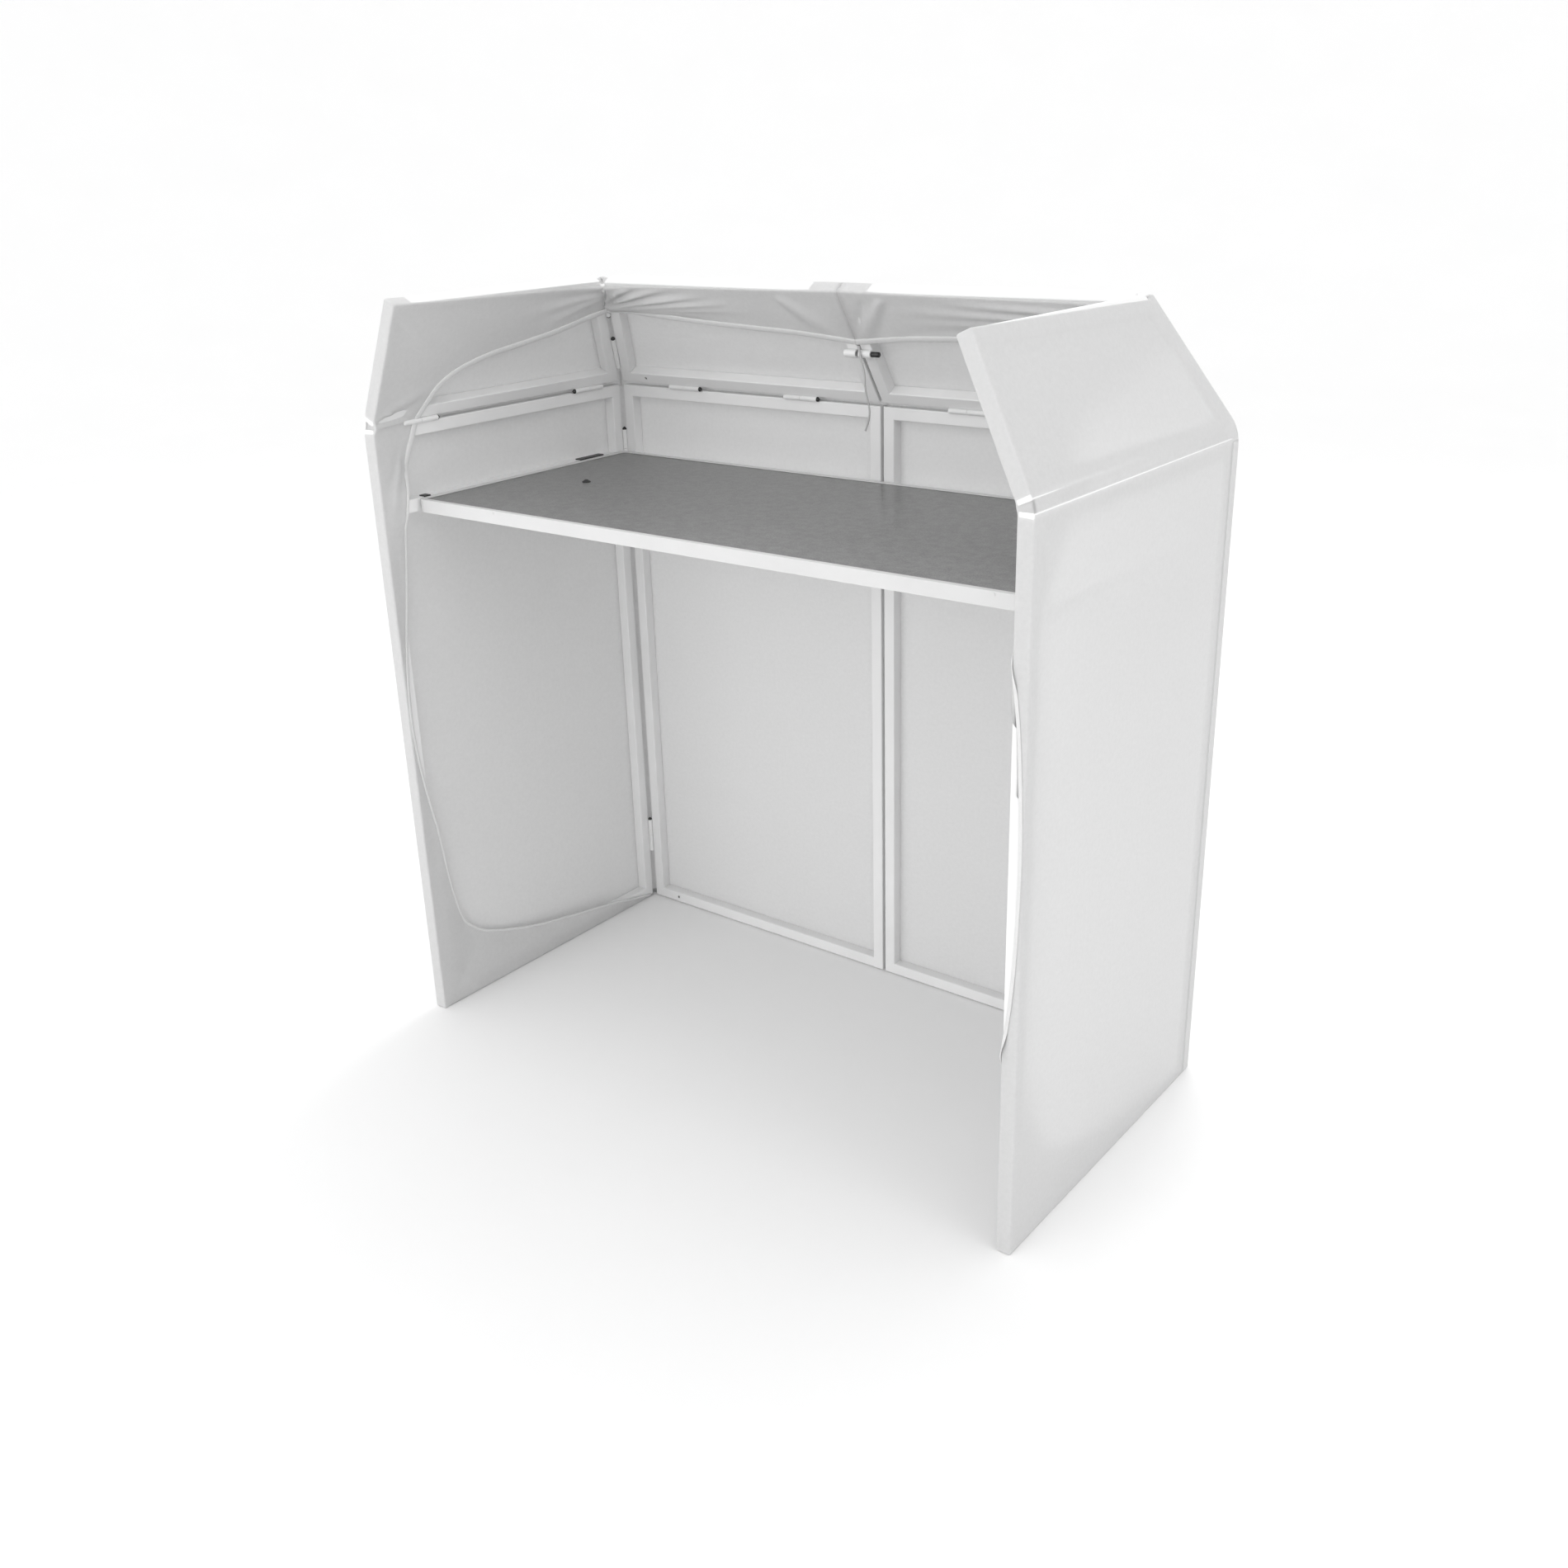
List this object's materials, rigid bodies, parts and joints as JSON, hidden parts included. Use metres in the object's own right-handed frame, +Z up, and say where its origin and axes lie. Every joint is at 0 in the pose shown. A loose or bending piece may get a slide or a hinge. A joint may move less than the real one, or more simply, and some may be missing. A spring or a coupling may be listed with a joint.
{
  "type": "folding performer's booth",
  "caption": "Portable folding booth: hinged tube frames under a white stretch-fabric cover, with leaning upper panels and a hook-on work table.",
  "frame": {"origin": "centre of the footprint, on the floor", "axes": "+X to the operator's right, +Y towards the audience, +Z up; the open side faces -Y"},
  "size_m": [1.15, 0.5746, 1.1945],
  "materials": {
    "frame_paint": "white powder coat, satin",
    "hinge_paint": "white powder coat, satin",
    "pin_steel": "black oxide",
    "cover_fabric": "white stretch knit, matt",
    "cord_fabric": "braided cord, matt",
    "table_laminate": "grey laminate on board, semi-gloss",
    "table_edge": "white powder coat, satin",
    "hook_black": "black coated steel",
    "zinc": "zinc plated"
  },
  "bodies": {
    "back_left": {"frame_back_left": "frame_paint", "cover_back_left": "cover_fabric", "seam_barrels_back_left": "hinge_paint", "seam_pins_back_left": "pin_steel", "corner_barrels_back_left": "hinge_paint", "corner_pins_left": "pin_steel", "centre_barrels_left": "hinge_paint", "centre_pins": "pin_steel"},
    "back_right": {"frame_back_right": "frame_paint", "cover_back_right": "cover_fabric", "seam_barrels_back_right": "hinge_paint", "seam_pins_back_right": "pin_steel", "corner_barrels_back_right": "hinge_paint", "corner_pins_right": "pin_steel", "centre_barrels_right": "hinge_paint"},
    "side_left": {"frame_side_left": "frame_paint", "cover_side_left": "cover_fabric", "seam_barrels_side_left": "hinge_paint", "seam_pins_side_left": "pin_steel", "corner_barrels_side_left": "hinge_paint"},
    "side_right": {"frame_side_right": "frame_paint", "cover_side_right": "cover_fabric", "seam_barrels_side_right": "hinge_paint", "seam_pins_side_right": "pin_steel", "corner_barrels_side_right": "hinge_paint"},
    "upper_side_left": {"upper_frame_side_left": "frame_paint", "upper_cover_side_left": "cover_fabric", "upper_seam_barrels_side_left": "hinge_paint", "mitre_barrels_side_left": "hinge_paint", "mitre_pins_left": "pin_steel"},
    "upper_side_right": {"upper_frame_side_right": "frame_paint", "upper_cover_side_right": "cover_fabric", "upper_seam_barrels_side_right": "hinge_paint", "mitre_barrels_side_right": "hinge_paint", "mitre_pins_right": "pin_steel"},
    "upper_back_left": {"upper_frame_back_left": "frame_paint", "upper_cover_back_left": "cover_fabric", "upper_seam_barrels_back_left": "hinge_paint", "mitre_barrels_back_left": "hinge_paint", "lock_barrel_left": "hinge_paint"},
    "upper_back_right": {"upper_frame_back_right": "frame_paint", "upper_cover_back_right": "cover_fabric", "upper_seam_barrels_back_right": "hinge_paint", "mitre_barrels_back_right": "hinge_paint", "lock_barrel_right": "hinge_paint", "drawcord": "cord_fabric"},
    "lock_pin": {"lock_pin": "pin_steel"},
    "table": {"table_rim": "table_edge", "table_board": "table_laminate", "table_bolts": "hook_black", "table_nuts": "zinc", "table_hooks_left": "hook_black", "table_hooks_right": "hook_black", "rim_rivets": "table_edge"}
  },
  "joints": [
    {"name": "centre_fold", "type": "hinge", "parent": "back_left", "child": "back_right", "pos_m": [0, 0.28335, 0.5], "axis": [0, 0, 1], "range_deg": [0, 180]},
    {"name": "corner_left", "type": "hinge", "parent": "back_left", "child": "side_left", "pos_m": [-0.5517, 0.25935, 0.5], "axis": [0, 0, -1], "range_deg": [0, 90]},
    {"name": "corner_right", "type": "hinge", "parent": "back_right", "child": "side_right", "pos_m": [0.5517, 0.25935, 0.5], "axis": [0, 0, 1], "range_deg": [0, 90]},
    {"name": "upper_side_left_tilt", "type": "hinge", "parent": "side_left", "child": "upper_side_left", "pos_m": [-0.5517, 0, 1.0026], "axis": [0, -1, 0], "range_deg": [0, 24.5]},
    {"name": "upper_side_right_tilt", "type": "hinge", "parent": "side_right", "child": "upper_side_right", "pos_m": [0.5517, 0, 1.0026], "axis": [0, 1, 0], "range_deg": [0, 24.5]},
    {"name": "upper_back_left_tilt", "type": "hinge", "parent": "back_left", "child": "upper_back_left", "pos_m": [-0.28, 0.25935, 1.0026], "axis": [-1, 0, 0], "range_deg": [0, 33]},
    {"name": "upper_back_right_tilt", "type": "hinge", "parent": "back_right", "child": "upper_back_right", "pos_m": [0.28, 0.25935, 1.0026], "axis": [-1, 0, 0], "range_deg": [0, 33]},
    {"name": "lock_pin_push", "type": "slide", "parent": "upper_back_right", "child": "lock_pin", "axis": [-1, 0, 0], "range_m": [0, 0.012]},
    {"name": "table_lift", "type": "slide", "parent": "back_left", "child": "table", "axis": [0, 0, 1], "range_m": [0, 0.08]}
  ]
}
